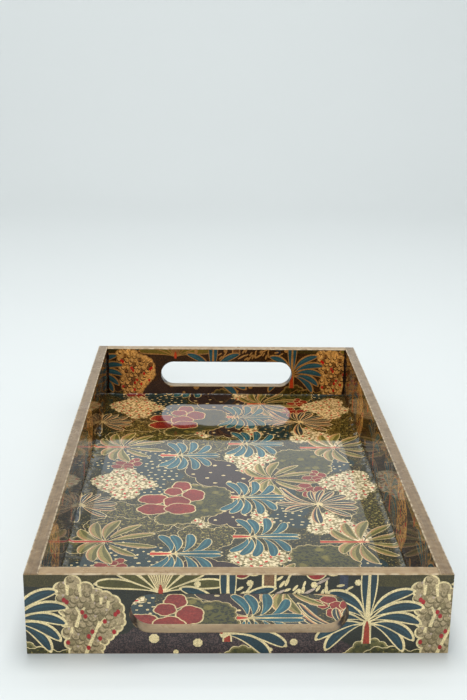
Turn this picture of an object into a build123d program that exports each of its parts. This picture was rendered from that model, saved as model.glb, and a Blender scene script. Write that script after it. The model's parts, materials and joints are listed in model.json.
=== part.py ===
"""Rectangular serving tray: four boards and a base panel, faced with printed paper.

The two long side rails run the full length and the two end rails stand between them,
butted, glued and nailed. The base panel is let into a rebate along the bottom inside
edge of the rails and pinned from below. Every face that shows carries a printed sheet,
the floor has a poured clear enamel that creeps up the walls, and the cut edges of the
boards, at the rim and in the two hand slots, are filled and painted as thin bands.

Frame: +Z up, +X across the tray, +Y along it towards the rear end rail.
The origin is the centre of the footprint, on the plane that the tray rests on.
"""

import os

from build123d import *

# Driving dimensions, in millimetres.
WIDTH = 254.0  # overall, across the side rails' outer prints
LENGTH = 450.0  # overall, across the end rails' outer prints
HEIGHT = 54.0  # from the table to the top of the rim

RAIL = 8.0  # board thickness of the four rails
SHEET = 0.4  # a printed sheet with its glue and varnish
BAND = 0.4  # filler and paint on a cut edge

BASE = 4.0  # base panel thickness
BASE_LIFT = 0.3  # the panel's underside above the table
BASE_GAP = 0.2  # glue gap round the panel, in its rebate
REBATE = 4.0  # how far the rebate goes into a rail
LINING = 0.25  # sheet under the base panel
LINING_INSET = 5.0  # the lining's edge, in from the panel's edge, clear of the pins

ENAMEL = 0.5  # clear enamel on the floor
MENISCUS = 2.5  # radius of the enamel's creep up the walls

SLOT_LENGTH = 130.0  # hand slot, end to end
SLOT_HEIGHT = 25.4
SLOT_CENTRE = 27.8  # height of the slot's centre line

PRINT_LIFT = 0.3  # outer prints are trimmed just clear of the table
ARRIS = 0.3  # softened edges of bands and prints

BRAD_LENGTH = 25.0
BRAD_RADIUS = 0.6
BRAD_HEAD_RADIUS = 1.1
BRAD_HEAD = 0.7
BRAD_HEIGHTS = (10.0, 27.0, 44.0)

PIN_LENGTH = 12.0
PIN_RADIUS = 0.5
PIN_HEAD_RADIUS = 1.0
PIN_HEAD = 0.5
PINS_ALONG_SIDE = 5
PINS_ALONG_END = 3
PIN_END_MARGIN = 40.0  # first pin to the panel's corner, along a side

# Faces worked out from the above, as distances from the centre of the tray.
RAIL_OUT_X = WIDTH / 2 - SHEET
RAIL_IN_X = RAIL_OUT_X - RAIL
WELL_X = RAIL_IN_X - SHEET
RAIL_OUT_Y = LENGTH / 2 - SHEET
RAIL_IN_Y = RAIL_OUT_Y - RAIL
WELL_Y = RAIL_IN_Y - SHEET
RAIL_TOP = HEIGHT - BAND
BASE_TOP = BASE_LIFT + BASE
PRINT_TOP = BASE_TOP + SHEET
FLOOR = PRINT_TOP + ENAMEL
REBATE_X = RAIL_IN_X + REBATE
REBATE_Y = RAIL_IN_Y + REBATE


def block(x, y, z):
    """A box from three (low, high) pairs."""
    size = [high - low for low, high in (x, y, z)]
    middle = [(high + low) / 2 for low, high in (x, y, z)]
    return Pos(*middle) * Box(*size)


def slot_prism(y, grow=0.0):
    """The hand slot's stadium, grown by grow all round, between two Y planes."""
    outline = SlotOverall(SLOT_LENGTH + 2 * grow, SLOT_HEIGHT + 2 * grow)
    prism = extrude(outline, (y[1] - y[0]) / 2, both=True)
    return Pos(0, (y[0] + y[1]) / 2, SLOT_CENTRE) * Rot(X=90) * prism


def ordered(a, b):
    return (a, b) if a < b else (b, a)


def headed_nail(length, radius, head, head_radius):
    """A nail with its head's top at the origin and its shank along -Z."""
    shank = Pos(0, 0, -length / 2) * Cylinder(radius, length)
    cap = Pos(0, 0, -head / 2) * Cylinder(head_radius, head)
    return shank + cap


def corner_brads():
    """Brads through a side rail's outer face into the end grain of an end rail."""
    brads = []
    middle_of_end_rail = RAIL_IN_Y + RAIL / 2
    for side in (-1, 1):
        for end in (-1, 1):
            for height in BRAD_HEIGHTS:
                brad = headed_nail(BRAD_LENGTH, BRAD_RADIUS, BRAD_HEAD, BRAD_HEAD_RADIUS)
                place = Pos(side * RAIL_OUT_X, end * middle_of_end_rail, height)
                brads.append(place * Rot(Y=90 * side) * brad)
    return brads


def base_pins():
    """Pins up through the base panel into the rails above the rebate."""
    line_x = RAIL_IN_X + REBATE / 2
    line_y = RAIL_IN_Y + REBATE / 2
    reach = REBATE_Y - PIN_END_MARGIN
    places = []
    for i in range(PINS_ALONG_SIDE):
        y = -reach + 2 * reach * i / (PINS_ALONG_SIDE - 1)
        places += [(-line_x, y), (line_x, y)]
    for i in range(PINS_ALONG_END):
        x = RAIL_IN_X * (2 * (i + 1) / (PINS_ALONG_END + 1) - 1)
        places += [(x, -line_y), (x, line_y)]
    pin = Rot(X=180) * headed_nail(PIN_LENGTH, PIN_RADIUS, PIN_HEAD, PIN_HEAD_RADIUS)
    return [Pos(x, y, BASE_LIFT) * pin for x, y in places]


def side_rail(side, nails):
    """A long rail, with the rebate stopped where the end rails' rebates begin."""
    face_in, face_out = side * RAIL_IN_X, side * RAIL_OUT_X
    board = block(ordered(face_in, face_out), (-RAIL_OUT_Y, RAIL_OUT_Y), (0, RAIL_TOP))
    rebate = block(ordered(face_in, side * REBATE_X), (-REBATE_Y, REBATE_Y), (0, BASE_TOP))
    rail = board - rebate
    for nail in nails:
        rail -= nail
    return rail


def end_rail(end, nails):
    """A short rail between the side rails, with its hand slot."""
    x = (-RAIL_IN_X, RAIL_IN_X)
    y = ordered(end * RAIL_IN_Y, end * RAIL_OUT_Y)
    rebate = block(x, ordered(end * RAIL_IN_Y, end * REBATE_Y), (0, BASE_TOP))
    rail = block(x, y, (0, RAIL_TOP)) - rebate - slot_prism(y, BAND)
    for nail in nails:
        rail -= nail
    return rail


def base_panel(nails):
    edge_x, edge_y = REBATE_X - BASE_GAP, REBATE_Y - BASE_GAP
    panel = block((-edge_x, edge_x), (-edge_y, edge_y), (BASE_LIFT, BASE_TOP))
    for nail in nails:
        panel -= nail
    return panel


def underside_lining():
    edge_x = REBATE_X - BASE_GAP - LINING_INSET
    edge_y = REBATE_Y - BASE_GAP - LINING_INSET
    return block((-edge_x, edge_x), (-edge_y, edge_y), (BASE_LIFT - LINING, BASE_LIFT))


def floor_print():
    """The printed sheet on the base panel, out to the rails' faces."""
    return block((-RAIL_IN_X, RAIL_IN_X), (-RAIL_IN_Y, RAIL_IN_Y), (BASE_TOP, PRINT_TOP))


def enamel():
    """The clear floor coat. It fills the corner between floor and walls with a hollow round."""
    pool = block((-WELL_X, WELL_X), (-WELL_Y, WELL_Y), (PRINT_TOP, FLOOR + MENISCUS))
    hollow = block((-WELL_X, WELL_X), (-WELL_Y, WELL_Y), (FLOOR, FLOOR + 2 * MENISCUS))
    foot = hollow.faces().sort_by(Axis.Z)[0]
    return pool - fillet(foot.edges(), MENISCUS)


def outer_side_print(side):
    x = ordered(side * RAIL_OUT_X, side * WIDTH / 2)
    return block(x, (-RAIL_OUT_Y, RAIL_OUT_Y), (PRINT_LIFT, RAIL_TOP))


def outer_end_print(end):
    """The sheet on an end's outer face, over the side prints' edges, pierced for the slot."""
    y = ordered(end * RAIL_OUT_Y, end * LENGTH / 2)
    sheet = block((-WIDTH / 2, WIDTH / 2), y, (PRINT_LIFT, RAIL_TOP))
    outer_face = sheet.faces().sort_by(Axis.Y)[0 if end < 0 else -1]
    corners = outer_face.edges().filter_by(Axis.Z)
    return fillet(corners, ARRIS) - slot_prism(y, BAND)


def inner_side_print(side):
    x = ordered(side * WELL_X, side * RAIL_IN_X)
    return block(x, (-RAIL_IN_Y, RAIL_IN_Y), (PRINT_TOP, RAIL_TOP))


def inner_end_print(end):
    y = ordered(end * WELL_Y, end * RAIL_IN_Y)
    return block((-WELL_X, WELL_X), y, (PRINT_TOP, RAIL_TOP)) - slot_prism(y, BAND)


def rim_band():
    """The filled and painted top edge, one ring over boards and sheets alike."""
    outer = RectangleRounded(WIDTH, LENGTH, ARRIS)
    ring = extrude(outer - Rectangle(2 * WELL_X, 2 * WELL_Y), BAND)
    ring = Pos(0, 0, RAIL_TOP) * ring
    return fillet(ring.faces().sort_by(Axis.Z)[-1].edges(), ARRIS)


def slot_band(end):
    """The painted lining of a hand slot, from outer print to inner print."""
    y = ordered(end * WELL_Y, end * LENGTH / 2)
    return slot_prism(y, BAND) - slot_prism((y[0] - 1, y[1] + 1))


def build():
    brads = corner_brads()
    pins = base_pins()
    nails = brads + pins
    parts = {
        "base_panel": base_panel(pins),
        "underside_lining": underside_lining(),
        "floor_print": floor_print(),
        "clear_enamel_coat": enamel(),
        "rim_band": rim_band(),
        "corner_brads": Compound(children=brads),
        "base_pins": Compound(children=pins),
    }
    for name, side in (("left", -1), ("right", 1)):
        parts[f"{name}_side_rail"] = side_rail(side, nails)
        parts[f"{name}_outer_print"] = outer_side_print(side)
        parts[f"{name}_inner_print"] = inner_side_print(side)
    for name, end in (("front", -1), ("rear", 1)):
        parts[f"{name}_end_rail"] = end_rail(end, nails)
        parts[f"{name}_outer_print"] = outer_end_print(end)
        parts[f"{name}_inner_print"] = inner_end_print(end)
        parts[f"{name}_slot_band"] = slot_band(end)
    return parts


os.makedirs("parts", exist_ok=True)
for node, shape in build().items():
    export_step(shape, f"parts/{node}.step")
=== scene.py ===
"""A papered serving tray: printed sheets under clear enamel, a painted rim and painted hand slots.

The print is laid as ink shapes in millimetres on each sheet, later shapes over earlier
ones, and each sheet's mesh is cut along them, so every ink is a region of its own.
"""

import json
import math
import random

import bmesh
import bpy
from mathutils import Matrix, Vector, noise
from mathutils.geometry import delaunay_2d_cdt


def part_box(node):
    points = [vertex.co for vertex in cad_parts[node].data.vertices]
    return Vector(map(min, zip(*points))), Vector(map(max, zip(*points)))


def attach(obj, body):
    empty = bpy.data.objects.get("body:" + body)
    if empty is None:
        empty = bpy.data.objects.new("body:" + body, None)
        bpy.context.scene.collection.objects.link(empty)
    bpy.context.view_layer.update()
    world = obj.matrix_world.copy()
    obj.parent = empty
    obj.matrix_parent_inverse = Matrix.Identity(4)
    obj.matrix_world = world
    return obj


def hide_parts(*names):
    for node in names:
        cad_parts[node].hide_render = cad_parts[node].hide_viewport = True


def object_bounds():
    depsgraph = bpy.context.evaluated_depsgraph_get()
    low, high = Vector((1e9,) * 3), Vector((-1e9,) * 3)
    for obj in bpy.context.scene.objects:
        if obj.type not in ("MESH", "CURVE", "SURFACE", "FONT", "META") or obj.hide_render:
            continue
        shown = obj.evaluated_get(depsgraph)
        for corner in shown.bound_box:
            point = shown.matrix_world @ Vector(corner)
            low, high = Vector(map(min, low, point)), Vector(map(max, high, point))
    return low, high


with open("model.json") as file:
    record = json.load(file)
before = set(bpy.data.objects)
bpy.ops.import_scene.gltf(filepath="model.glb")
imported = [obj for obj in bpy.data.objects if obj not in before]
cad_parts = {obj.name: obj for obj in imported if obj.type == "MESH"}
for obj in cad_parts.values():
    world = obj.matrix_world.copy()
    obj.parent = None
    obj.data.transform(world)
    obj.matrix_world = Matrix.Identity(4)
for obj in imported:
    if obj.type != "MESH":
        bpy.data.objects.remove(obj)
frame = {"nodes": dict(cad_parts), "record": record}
cad_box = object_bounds()

MM = 0.001
X, Y, Z = Vector((1, 0, 0)), Vector((0, 1, 0)), Vector((0, 0, 1))

# The tray's faces, from the frame.
OUTER_X, OUTER_Y, RIM_TOP = cad_box[1]
ENAMEL_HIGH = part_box("clear_enamel_coat")[1]
WELL_X, WELL_Y = ENAMEL_HIGH.x, ENAMEL_HIGH.y
MOUNTS = {mount["name"]: mount for mount in frame["record"]["mounts"]}
FLOOR = MOUNTS["serving_surface"]["pos_m"][2]
MENISCUS = ENAMEL_HIGH.z - FLOOR
RIM_LOW, RIM_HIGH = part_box("rim_band")
BAND = RIM_HIGH.z - RIM_LOW.z
WALL = OUTER_X - WELL_X
SLOT_LOW, SLOT_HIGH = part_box("front_slot_band")
SLOT_RADIUS = (SLOT_HIGH.z - SLOT_LOW.z) / 2 - BAND
SLOT_HALF = SLOT_HIGH.x - BAND - SLOT_RADIUS
SLOT_Z = (SLOT_HIGH.z + SLOT_LOW.z) / 2

PAINT_PROUD = 0.06 * MM  # how far the prints lie behind the paint that laps over them


# ---------------------------------------------------------------- nodes

def add(tree, kind, links=None, **settings):
    """Adds a shader node. links gives its inputs a plain value or another node's output."""
    made = tree.nodes.new("ShaderNode" + kind)
    for key, value in settings.items():
        setattr(made, key, value)
    for key, value in (links or {}).items():
        if isinstance(value, bpy.types.NodeSocket):
            tree.links.new(value, made.inputs[key])
        else:
            made.inputs[key].default_value = value
    return made


def on_tray(tree):
    """Where a point lies on the tray."""
    return add(tree, "TexCoord").outputs["Object"]


def math_node(tree, operation, a, b=0.0):
    return add(tree, "Math", {0: a, 1: b}, operation=operation).outputs[0]


def remap(tree, value, from_low, from_high, to_low, to_high):
    links = {"Value": value, "From Min": from_low, "From Max": from_high}
    links.update({"To Min": to_low, "To Max": to_high})
    return add(tree, "MapRange", links).outputs[0]


def mix_colour(tree, amount, a, b, blend="MIX"):
    return add(tree, "Mix", {0: amount, 6: a, 7: b}, data_type="RGBA", blend_type=blend).outputs[2]


def shaded(tree, colour, share):
    """A colour times a grey that varies over the surface."""
    grey = add(tree, "CombineColor", {channel: share for channel in range(3)}).outputs[0]
    return mix_colour(tree, 1.0, colour, grey, "MULTIPLY")


def noise_node(tree, where, scale, detail=2.0, rough=0.5):
    links = {"Vector": where, "Scale": scale, "Detail": detail, "Roughness": rough}
    return add(tree, "TexNoise", links).outputs[0]


def stretched(tree, where, *scales):
    return add(tree, "VectorMath", {0: where, 1: scales}, operation="MULTIPLY").outputs[0]


def make_group(name, inputs, outputs):
    """A node group with named sockets: (label, "Float" | "Color" | "Vector", default)."""
    tree = bpy.data.node_groups.new(name, "ShaderNodeTree")
    for label, kind, default in inputs:
        socket = tree.interface.new_socket(label, in_out="INPUT", socket_type="NodeSocket" + kind)
        socket.default_value = default
    for label, kind in outputs:
        tree.interface.new_socket(label, in_out="OUTPUT", socket_type="NodeSocket" + kind)
    return tree, tree.nodes.new("NodeGroupInput").outputs, tree.nodes.new("NodeGroupOutput").inputs


def linear(*colour):
    """A colour as an artist names it, 0 to 255 a channel, in the shader's linear values."""
    def channel(share):
        return share / 12.92 if share <= 0.04045 else ((share + 0.055) / 1.055) ** 2.4

    return tuple(channel(value / 255) for value in colour) + (1.0,)


def new_material(name, roughness, **sockets):
    """A material with its Principled BSDF. Constant socket values are set here."""
    made = bpy.data.materials.new(name)
    made.use_nodes = True
    shader = made.node_tree.nodes["Principled BSDF"]
    shader.inputs["Roughness"].default_value = roughness
    for key, value in sockets.items():
        shader.inputs[key.replace("_", " ")].default_value = value
    return made, made.node_tree, shader


def place_group(tree, group, links):
    return add(tree, "Group", links, node_tree=group).outputs


def dress(tree, shader, colour, roughness, height, strength, depth):
    """Feeds a material's colour and roughness, and its bump from height, depth in millimetres."""
    tree.links.new(colour, shader.inputs["Base Color"])
    tree.links.new(roughness, shader.inputs["Roughness"])
    relief = add(tree, "Bump", {"Height": height, "Strength": strength, "Distance": depth * MM})
    tree.links.new(relief.outputs[0], shader.inputs["Normal"])


# ---------------------------------------------------------------- shared effects

# The warm colour that the floor's painted shade and rear-wall reflection multiply in towards the
# rear.
REAR_WALL_SHADE_TINT = (0.82, 0.65, 0.47, 1.0)
REAR_WALL_SHADE_FROM_TO = (0.085, 0.125)  # where, in metres towards the rear, the floor's painted warm shade begins and reaches full strength, standing in for the rear wall's shade and reflection


def printed_ink_group():
    """Ink on paper: flecks of a second colour, dabs of a third, soft mottling and press grain, and
    on the floor a painted warm shade towards the rear wall.
    """
    tree, given, made = make_group(
        "printed_ink",
        [("Ink", "Color", (0.5, 0.5, 0.5, 1)), ("Fleck", "Color", (0, 0, 0, 1)),
         ("Fleck Amount", "Float", 0.5), ("Fleck Scale", "Float", 1500.0),
         ("Dab", "Color", (0.8, 0.8, 0.8, 1)), ("Dab Amount", "Float", 0.0),
         ("Dab Scale", "Float", 300.0), ("Dab Size", "Float", 0.4), ("Rear Wall Shade", "Float", 0.0)],
        [("Color", "Color")],
    )
    spot = on_tray(tree)
    wander = add(tree, "TexNoise", {"Vector": spot, "Scale": 260.0, "Detail": 1.0}).outputs["Color"]
    wander = add(tree, "VectorMath", {0: wander, "Scale": 0.0022}, operation="SCALE").outputs[0]
    loose = add(tree, "VectorMath", {0: spot, 1: wander}, operation="ADD").outputs[0]
    dabs = add(tree, "TexVoronoi", {"Vector": loose, "Scale": given["Dab Scale"]})
    edge = math_node(tree, "ADD", given["Dab Size"], 0.12)
    dabs = remap(tree, dabs.outputs["Distance"], given["Dab Size"], edge, 1.0, 0.0)
    dabs = math_node(tree, "MULTIPLY", dabs, given["Dab Amount"])
    flecks = noise_node(tree, spot, given["Fleck Scale"], 1.0)
    flecks = remap(tree, flecks, 0.5, 0.6, 0.0, 1.0)
    flecks = math_node(tree, "MULTIPLY", flecks, given["Fleck Amount"])
    colour = mix_colour(tree, flecks, given["Ink"], given["Fleck"])
    colour = mix_colour(tree, dabs, colour, given["Dab"])
    cloud = remap(tree, noise_node(tree, spot, 75.0, 3.0), 0.3, 0.7, 0.8, 1.16)
    press = remap(tree, noise_node(tree, spot, 1500.0, 2.0, 0.7), 0.32, 0.68, 0.66, 1.28)
    colour = shaded(tree, colour, math_node(tree, "MULTIPLY", cloud, press))
    # Painted shade: towards the rear the floor is darkened and warmed, standing in for the rear
    # wall's shade and warm reflection.
    toward_rear = add(tree, "SeparateXYZ", {0: spot}).outputs["Y"]
    rear_wall_shade = remap(tree, toward_rear, *REAR_WALL_SHADE_FROM_TO, 0.0, 1.0)
    rear_wall_shade = math_node(tree, "MULTIPLY", rear_wall_shade, given["Rear Wall Shade"])
    colour = mix_colour(tree, rear_wall_shade, colour, REAR_WALL_SHADE_TINT, "MULTIPLY")
    tree.links.new(colour, made["Color"])
    return tree


def lacquer_skin_group():
    """A brushed clear coat: long shallow flow, finer orange peel, and slightly uneven gloss."""
    tree, given, made = make_group(
        "lacquer_skin",
        [("Roughness", "Float", 0.1), ("Flow", "Float", 1.0), ("Peel", "Float", 0.3)],
        [("Roughness", "Float"), ("Height", "Float")],
    )
    spot = on_tray(tree)
    flow = math_node(tree, "MULTIPLY", noise_node(tree, spot, 55.0, 1.0), given["Flow"])
    peel = math_node(tree, "MULTIPLY", noise_node(tree, spot, 420.0, 1.0), given["Peel"])
    tree.links.new(math_node(tree, "ADD", flow, peel), made["Height"])
    haze = remap(tree, noise_node(tree, spot, 35.0, 3.0), 0.3, 0.7, 0.75, 1.4)
    tree.links.new(math_node(tree, "MULTIPLY", haze, given["Roughness"]), made["Roughness"])
    return tree


def brushed_paint_group():
    """Streaks that follow the brush along an edge, from the piece's own grain attribute."""
    tree, given, made = make_group(
        "brushed_paint",
        [("Paint", "Color", (0.5, 0.4, 0.3, 1)), ("Shadow", "Color", (0.2, 0.15, 0.1, 1)),
         ("Streaks", "Float", 0.5), ("Smudges", "Float", 0.4)],
        [("Color", "Color"), ("Height", "Float"), ("Roughness", "Float")],
    )
    grain = add(tree, "Attribute", attribute_name="grain").outputs["Vector"]
    streak = noise_node(tree, stretched(tree, grain, 45.0, 1500.0, 45.0), 1.0, 4.0, 0.6)
    blotch = noise_node(tree, grain, 90.0, 3.0, 0.55)
    speck = noise_node(tree, grain, 900.0, 2.0, 0.6)
    dark = remap(tree, streak, 0.45, 0.75, 0.0, 1.0)
    dark = math_node(tree, "MULTIPLY", dark, given["Streaks"])
    smudge = remap(tree, blotch, 0.5, 0.72, 0.0, 1.0)
    smudge = math_node(tree, "MULTIPLY", smudge, given["Smudges"])
    colour = mix_colour(tree, dark, given["Paint"], given["Shadow"])
    colour = mix_colour(tree, smudge, colour, given["Shadow"])
    tree.links.new(shaded(tree, colour, remap(tree, speck, 0.3, 0.7, 0.92, 1.08)), made["Color"])
    fine = math_node(tree, "MULTIPLY", speck, 0.3)
    tree.links.new(math_node(tree, "ADD", streak, fine), made["Height"])
    tree.links.new(remap(tree, blotch, 0.3, 0.7, 0.24, 0.4), made["Roughness"])
    return tree


def edge_marks_group():
    """A second colour where the piece's own arris attribute marks it, broken up by noise. On the
    rim the arrises go lighter, partly rubbed wear and partly a painted highlight; on the slots the
    ends go darker.
    """
    tree, given, made = make_group(
        "edge_marks",
        [("Color", "Color", (0.5, 0.4, 0.3, 1)), ("Marked", "Color", (0.8, 0.7, 0.6, 1)),
         ("Amount", "Float", 0.5)],
        [("Color", "Color")],
    )
    arris = add(tree, "Attribute", attribute_name="arris").outputs["Fac"]
    broken = remap(tree, noise_node(tree, on_tray(tree), 260.0, 3.0), 0.4, 0.62, 0.15, 1.0)
    marked = math_node(tree, "MULTIPLY", math_node(tree, "MULTIPLY", arris, broken), given["Amount"])
    tree.links.new(mix_colour(tree, marked, given["Color"], given["Marked"]), made["Color"])
    return tree


printed_ink = printed_ink_group()
lacquer_skin = lacquer_skin_group()
brushed_paint = brushed_paint_group()
edge_marks = edge_marks_group()


# ---------------------------------------------------------------- materials

# Each ink: its colour, its flecks' colour, their strength and scale, and for some inks the
# dabs' colour, strength, scale and size.
INKS = {
    "ground": ((32, 35, 28), (50, 50, 34), 0.6, 1400),
    "thicket": ((54, 54, 28), (24, 28, 18), 0.95, 650, (130, 118, 70), 0.85, 480, 0.22),
    "olive_ground": ((56, 52, 24), (84, 74, 38), 0.7, 1200),
    "line": ((224, 206, 156), (194, 172, 120), 0.4, 1200),
    "teal": ((30, 54, 62), (46, 74, 82), 0.4, 1600),
    "teal_light": ((40, 70, 80), (34, 60, 70), 0.4, 1600),
    "olive": ((82, 78, 36), (56, 56, 26), 0.5, 1100),
    "sage": ((128, 118, 68), (96, 92, 50), 0.5, 1100),
    "plum": ((42, 34, 36), (92, 74, 70), 0.7, 1500),
    "coral": ((166, 148, 112), (122, 108, 76), 0.8, 700),
    "coral_core": ((136, 122, 86), (112, 98, 66), 0.6, 700),
    "coral_shade": ((100, 88, 58), (128, 112, 80), 0.5, 900),
    "lilac": ((178, 160, 144), (148, 128, 108), 0.5, 900),
    "pebble": ((150, 116, 70), (112, 84, 48), 0.5, 900, (228, 202, 150), 0.95, 330, 0.42),
    "berry": ((158, 30, 32), (124, 22, 26), 0.4, 1300),
    "petal": ((152, 46, 40), (118, 32, 30), 0.5, 900, (170, 84, 76), 0.35, 420, 0.25),
    "petal_shade": ((124, 34, 32), (150, 52, 46), 0.5, 900),
    "moss": ((62, 60, 28), (36, 40, 22), 0.8, 900, (128, 116, 58), 0.75, 380, 0.2),
    "hill": ((76, 74, 38), (50, 54, 30), 0.8, 500, (104, 98, 54), 0.5, 200, 0.3),
    "hill_light": ((124, 114, 68), (94, 90, 50), 0.6, 900),
    "pool": ((34, 54, 60), (52, 76, 80), 0.5, 1500),
    "trunk": ((158, 56, 34), (122, 40, 28), 0.5, 1100),
    "bark": ((116, 84, 54), (84, 60, 38), 0.5, 1100),
    "navy": ((44, 50, 66), (66, 74, 88), 0.4, 1500),
    "blush": ((176, 122, 88), (146, 98, 68), 0.4, 1200),
    # Painted shade for the tray's inner corners.
    "seam": ((30, 20, 16), (48, 26, 18), 0.5, 700),
    "paper_edge": ((60, 48, 36), (90, 74, 56), 0.5, 900),
}

# The walls inside: these inks differ there. Together with the inner finish's cast they are set
# mostly darker and warmer, as painted shade and warm bounce light inside the walls.
SHADED_INNER_INKS = {
    "ground": ((52, 38, 22), (84, 58, 28), 0.7, 1200),
    "line": ((170, 136, 88), (128, 98, 60), 0.5, 1200),
    "coral": ((222, 182, 118), (140, 104, 60), 0.8, 800, (240, 210, 150), 0.7, 420, 0.3),
    "coral_core": ((128, 92, 52), (92, 62, 34), 0.5, 900),
    "coral_shade": ((56, 36, 22), (110, 78, 46), 0.5, 900),
    "lilac": ((186, 150, 100), (128, 98, 60), 0.5, 900),
    "teal": ((42, 86, 116), (58, 106, 134), 0.4, 1600),
    "teal_light": ((56, 106, 134), (46, 92, 120), 0.4, 1600),
    "olive": ((118, 110, 46), (82, 76, 30), 0.5, 1100),
    "moss": ((58, 50, 18), (34, 30, 14), 0.8, 900, (116, 96, 38), 0.8, 380, 0.22),
    "hill": ((64, 56, 22), (42, 38, 18), 0.8, 500, (98, 82, 36), 0.5, 200, 0.3),
    "plum": ((50, 38, 36), (88, 66, 58), 0.6, 1300),
    "berry": ((196, 40, 36), (150, 30, 28), 0.4, 1300),
    "trunk": ((200, 78, 44), (150, 52, 32), 0.5, 1100),
}

# The floor's print is finer and lighter than the walls': these inks differ there.
FLOOR_INKS = {
    "line": ((216, 200, 156), (176, 158, 116), 0.5, 1200),
    "teal": ((34, 84, 100), (54, 108, 120), 0.4, 1600),
    "teal_light": ((58, 112, 124), (46, 96, 108), 0.4, 1600),
    "olive": ((98, 98, 48), (72, 72, 34), 0.5, 1100),
    "sage": ((150, 140, 84), (118, 110, 62), 0.5, 1100),
    "hill": ((74, 74, 34), (30, 36, 22), 0.9, 420, (128, 120, 60), 0.7, 85, 0.2),
    "hill_light": ((118, 108, 64), (88, 84, 46), 0.6, 900),
    "moss": ((68, 64, 28), (26, 30, 18), 0.95, 650, (144, 130, 72), 0.85, 520, 0.22),
    "pool": ((30, 50, 54), (54, 74, 74), 0.6, 1200),
    "plum": ((34, 24, 22), (80, 62, 58), 0.7, 1400),
    "navy": ((46, 56, 60), (70, 80, 80), 0.5, 1400),
    "petal": ((134, 40, 30), (100, 28, 24), 0.6, 900, (156, 76, 62), 0.4, 420, 0.25),
    "pebble": ((152, 140, 102), (112, 104, 72), 0.7, 800, (234, 222, 188), 0.95, 400, 0.44),
    "berry": ((196, 44, 38), (150, 34, 30), 0.4, 1300),
    "trunk": ((190, 62, 44), (150, 46, 34), 0.5, 1100),
    "blush": ((186, 134, 98), (150, 104, 72), 0.5, 1200),
}

# Each finish: a colour cast, its roughness, flow and peel, and its index of refraction. The outer
# and floor casts are the lacquer's own tint. The dark warm inner cast is painted shade and warm
# bounce light on the inner walls.
FINISHES = {
    "outer": ((0.97, 0.96, 0.95), 0.2, 0.6, 0.5, 1.5),
    # Painted shade: this dark warm cast stands in for the shade and warm bounce light on the inner
    # walls.
    "inner": ((0.9, 0.66, 0.39), 0.07, 1.0, 0.3, 1.17),
    "floor": ((0.95, 0.89, 0.79), 0.018, 1.0, 0.1, 1.52),
}


def ink_material(finish, ink):
    """One ink under one finish of clear lacquer, made the first time that it is asked for."""
    name = f"{finish}_{ink}"
    if name in bpy.data.materials:
        return bpy.data.materials[name]
    lacquer_tint_and_shade, roughness, flow, peel, index = FINISHES[finish]
    recipe = {"inner": SHADED_INNER_INKS, "floor": FLOOR_INKS}.get(finish, {}).get(ink, INKS[ink])
    made, tree, shader = new_material(name, roughness, IOR=index)

    def tinted(colour):
        return tuple(c * t for c, t in zip(linear(*colour), lacquer_tint_and_shade)) + (1.0,)

    # The painted rear-wall shade is laid on the floor's inks only.
    shades = {"Ink": tinted(recipe[0]), "Rear Wall Shade": 1.0 if finish == "floor" else 0.0}
    for part, values in (("Fleck", recipe[1:4]), ("Dab", recipe[4:])):
        for label, value in zip(("", " Amount", " Scale", " Size"), values):
            shades[part + label] = value if label else tinted(value)
    ink_colour = place_group(tree, printed_ink, shades)["Color"]
    skin = place_group(tree, lacquer_skin, {"Roughness": roughness, "Flow": flow, "Peel": peel})
    dress(tree, shader, ink_colour, skin["Roughness"], skin["Height"], 0.35, 0.25)
    return made


def champagne_paint(name, tone, shadow, streaks, smudges, marked, marked_share, strength, depth):
    """Champagne paint brushed along an edge, with a second colour laid where the piece's arris
    attribute marks it.
    """
    made, tree, shader = new_material(name, 0.36)
    shades = {"Paint": linear(*tone), "Shadow": linear(*shadow)}
    shades.update({"Streaks": streaks, "Smudges": smudges})
    paint = place_group(tree, brushed_paint, shades)
    shades = {"Color": paint["Color"], "Marked": linear(*marked), "Amount": marked_share}
    edge_marked = place_group(tree, edge_marks, shades)["Color"]
    dress(tree, shader, edge_marked, paint["Roughness"], paint["Height"], strength, depth)
    return made


def rim_paint_material(name, tone, shadow):
    """The rim's paint, lighter on the arrises: partly rubbed wear, partly a painted highlight along
    the rounded edges.
    """
    return champagne_paint(name, tone, shadow, 0.85, 0.5, (206, 188, 156), 0.75, 0.5, 0.08)


def slot_paint_material():
    """The same paint on the slots, darkened towards near black-brown round their ends and top."""
    tone, shadow, darkening = (154, 130, 94), (96, 72, 44), (40, 28, 18)
    return champagne_paint("slot_paint", tone, shadow, 0.5, 0.6, darkening, 2.2, 0.6, 0.12)


def fibreboard_material():
    """Sawn and sanded fibreboard: matted fibres and darker bundles."""
    made, tree, shader = new_material("fibreboard", 0.85)
    fibre = noise_node(tree, on_tray(tree), 1400.0, 4.0, 0.7)
    bundle = noise_node(tree, on_tray(tree), 320.0, 3.0)
    matted = remap(tree, fibre, 0.35, 0.7, 0, 1)
    colour = mix_colour(tree, matted, linear(168, 128, 88), linear(124, 90, 58))
    colour = mix_colour(tree, remap(tree, bundle, 0.6, 0.72, 0, 0.6), colour, linear(92, 62, 38))
    dress(tree, shader, colour, remap(tree, fibre, 0.3, 0.7, 0.75, 0.95), fibre, 0.5, 0.1)
    return made


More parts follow.
